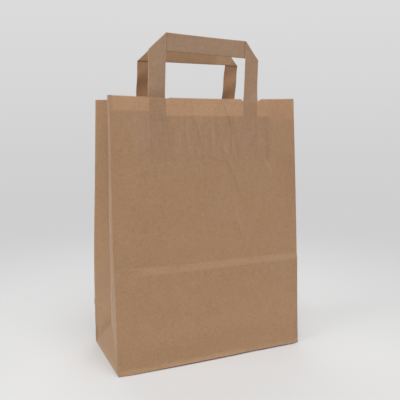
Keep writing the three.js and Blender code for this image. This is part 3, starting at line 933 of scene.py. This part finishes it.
def front_inside(x, z):
    """Depth of the inner face of the front panel: its outer face and one thickness of paper."""
    (left, _), (right, _) = front_fold(z, -1), front_fold(z, 1)
    s = (x - left) / (right - left) * 2 * half_width
    return front_panel(s, z)[..., 1] + paper_thickness


def back_inside(x, z):
    """The same for the back panel, in the frame that is turned half a turn."""
    right, _ = back_fold(z, 1)
    s = (x + right) / (2 * right) * 2 * half_width
    return -back_panel(s, z)[..., 1] + paper_thickness


def tape_depth(x, height, inside, stand):
    """Depth of the middle of the tape: on the glued legs it follows the panel, above it a leaning line.

    stand is the slope of the free handle inwards. With b the bend height, the slope goes over from that of
    the panel by depth = stand h + (panel slope - stand) b (1 - exp(-h / b)).
    """
    glued = glue_line + tape_thickness / 2
    on_panel = inside(x, edge_height + np.minimum(height, 0)) + glued
    lower = inside(handle_shift, edge_height - slope_height)
    lean = (inside(handle_shift, edge_height) - lower) / slope_height
    level = (inside(left_leg, edge_height) + inside(right_leg, edge_height)) / 2 + glued
    free = np.maximum(height, 0)
    on_panel = on_panel + (level - on_panel) * ease(free / level_height)
    return on_panel + stand * free + (lean - stand) * bend_height * (1 - np.exp(-free / bend_height))


def make_handle(name, material, rise, inside, turn, stand, askew, slant, pinch, twists, bow):
    """A whole handle: the folded tape, glued on askew, slanted and stood on the inside of its panel.

    The legs come closer together by the share pinch from the grip down to the edge. Each free leg is turned
    about its own middle by its twist, and bow is the height of the waves across it.
    """
    rows, row_slant, half = tape_rows(rise)
    across, out = np.broadcast_to(profile[:, 0], (len(rows), len(profile))), profile[:, 1]
    along = rows[:, None] + row_slant[:, None] * across
    mirrored = along > half
    place, facing = folded_tape(np.where(mirrored, 2 * half - along, along), across, rise)
    spot = place + out[None, :, None] * facing
    x = np.where(mirrored, -spot[..., 0], spot[..., 0])
    x, height = x + slant * spot[..., 1], spot[..., 1] - askew * x
    free = np.clip(height / (rise - tape_width), 0, 1)
    from_middle = x * (1 - pinch * (1 - free))
    x = from_middle + handle_shift
    y = tape_depth(x, height, inside, stand) + spot[..., 2]
    wave_length, wave_start, twist_width = 73.6, 0.19, 16
    y += bow * np.sin(np.pi * free) * np.sin(2 * np.pi * (free + from_middle / wave_length + wave_start))
    for twist, side in zip(twists, (-1, 1)):
        beside = from_middle - side * leg_reach
        grown = 1 - np.exp(-np.maximum(height, 0) / bend_height)
        y += twist * beside * np.exp(-(beside / twist_width) ** 2) * grown
    points = np.stack([x, y, edge_height + height], axis=-1) * turn
    quads = grid_faces(len(rows), len(profile), True)
    ends = [np.arange(len(profile))[::-1].tolist(),
            (np.arange(len(profile)) + (len(rows) - 1) * len(profile)).tolist()]
    flat_map = np.stack([along, across], axis=-1).reshape(-1, 2)
    corners = np.concatenate([quads.ravel(), ends[0], ends[1]])
    handle = make_piece(name, points.reshape(-1, 3), quads.tolist() + ends, flat_map[corners], material)
    print(name, "tape", round(2 * half, 1), "mm long, top at", points[..., 2].max().round(1), "mm")
    return handle, 2 * half


# %% [markdown]
# The tapes have their own marks, all painted light and shade. The edges of the front legs get a painted
# highlight where they catch the light, the grip gets a painted shadow right beside them, and the left
# leg gets painted shade where it leaves the bag. The back handle gets painted shade on its edges and
# legs, a painted pool of light at one corner, and warmer base colours for the light bounced in the bag.

# %% Build both handles
def tape_finish(name, dark, light, rise, grip_edge_shade, leg_edge_light_and_shade, leg_shade, corner_light, foot_shade, shadow_beside_leg):
    """Paper of a tape, with painted light and shade on its edges, legs, a corner, a foot and beside a leg.
    """
    tape, tree, colour, shader = paper_finish(name, dark, light)
    flat_map = add_node(tree, "UVMap", {}, uv_map="paper_map")
    along, across = add_node(tree, "SeparateXYZ", {0: flat_map}).outputs[:2]
    from_line = add_node(tree, "Math", {0: across}, operation="ABSOLUTE")
    edge = overlap(tree, (from_line, tape_width / 2 - 0.9, tape_width / 2 - 0.2))
    past_middle = add_node(tree, "Math", {0: along, 1: tape_rows(rise)[2] * MM}, operation="SUBTRACT")
    from_middle = add_node(tree, "Math", {0: past_middle}, operation="ABSOLUTE")
    bare = handle_span / 2 - tape_width  # half the grip between its two double corners
    ply = overlap(tree, (from_middle, bare - 0.5, bare + 0.5))
    no_ply = add_node(tree, "Math", {0: 1.0, 1: ply}, operation="SUBTRACT")
    for factors, *masks in [
            # painted shade along the grip's edges; painted highlight (front) and shade (back) along the
            # legs' edges
            (grip_edge_shade, edge, no_ply), (leg_edge_light_and_shade, edge, ply),
            # painted shade on the legs
            (leg_shade, (from_middle, handle_span / 2 - 0.5, handle_span / 2 + 0.5)),
            # painted pool of light at one corner
            (corner_light, (along, leg_length + rise - 10, leg_length + rise + 14, 10)),
            # painted shade where a leg leaves the bag
            (foot_shade, (along, leg_length - 6, leg_length + 6, 12)),
            # painted shadow on the grip beside the legs
            (shadow_beside_leg, (from_middle, bare - 1.3, bare, 0.5))]:
        colour = tint(tree, colour, overlap(tree, *masks), factors)
    tree.links.new(colour, shader.inputs["Base Color"])
    return tape


# front tape: painted highlights on the leg edges, painted shade on the grip edges, on the left foot and
# beside the legs
front_tape = tape_finish(
    "folded brown paper tape", "#937054", "#b19275", front_rise, grip_edge_shade=(0.92, 0.91, 0.89),
    leg_edge_light_and_shade=(1.28, 1.3, 1.34), leg_shade=(1.0, 0.98, 0.97), corner_light=(1, 1, 1),
    foot_shade=(0.78, 0.78, 0.75), shadow_beside_leg=(0.82, 0.8, 0.78))
# back tape: painted shade on its edges and legs and a painted pool of light at one corner; its warmer base
# colours paint the light bounced inside the bag
back_tape = tape_finish(
    "folded paper tape with painted warm bounce light", "#966e4d", "#b8936f", back_rise, grip_edge_shade=(0.84, 0.81, 0.78),
    leg_edge_light_and_shade=(0.84, 0.81, 0.78), leg_shade=(0.9, 0.83, 0.76), corner_light=(1.12, 1.2, 1.3),
    foot_shade=(1, 1, 1), shadow_beside_leg=(1, 1, 1))
front_handle, front_length = make_handle(
    "front_handle_tape", front_tape, front_rise, front_inside, no_turn, stand=-0.022, askew=0.0325,
    slant=front_slant, pinch=0.0, twists=(-0.13, 0.26), bow=0.0)
back_handle, back_length = make_handle(
    "back_handle_tape", back_tape, back_rise, back_inside, half_turn, stand=0.062, askew=0.0,
    slant=back_slant, pinch=0.0165, twists=(0.24, 0.0), bow=-1.3)
for handle, node, length in [(front_handle, "front_handle", front_length),
                             (back_handle, "back_handle", back_length)]:
    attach(handle, "root")
    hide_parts(node)

# %% [markdown]
# ## Patches
# Inside, a rectangle of paper is glued over both legs of each handle. It lies on the panel and steps up
# over the legs, so it is a grid over the inner face whose height follows a soft step at each leg.

# %% The two patches
patch_columns, patch_rows, patch_ramp = 115, 28, 3


def patch_depth(x, z, inside, slant):
    """Inner face, a glue line, and the thickness of the tape where a leg lies under the patch."""
    centre = handle_shift + slant * (z - edge_height)
    beside = np.abs(np.abs(x - centre) - leg_reach) - tape_width / 2
    over = ease(1 - (beside - 0.6) / patch_ramp) * ease((z - leg_end) / patch_ramp + 2)
    return inside(x, z) + glue_line + over * (tape_thickness + glue_line)


def make_patch(name, material, inside, turn, slant):
    """Grid of the patch, about 1.5 by 2 mm apart, its faces turned to the inside of the bag."""
    x, z = np.meshgrid(np.linspace(patch_left, patch_right, patch_columns),
                       np.linspace(patch_low, patch_high, patch_rows))
    points = np.stack([x, patch_depth(x, z, inside, slant), z], axis=-1) * turn
    quads = grid_faces(patch_rows, patch_columns, False)
    flat_map = np.stack([x, z], axis=-1).reshape(-1, 2)
    patch = make_piece(name, points.reshape(-1, 3), quads.tolist(), flat_map[quads.ravel()], material)
    thicken(patch)
    return patch


patch_paper, *_ = paper_finish("brown patch paper", "#92714d", "#ae8a66")
for name, node, inside, turn, slant in [
        ("front_patch_sheet", "front_patch", front_inside, no_turn, front_slant),
        ("back_patch_sheet", "back_patch", back_inside, half_turn, back_slant)]:
    patch = make_patch(name, patch_paper, inside, turn, slant)
    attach(patch, "root")
    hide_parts(node)
    print(name, len(patch.data.polygons), "faces")
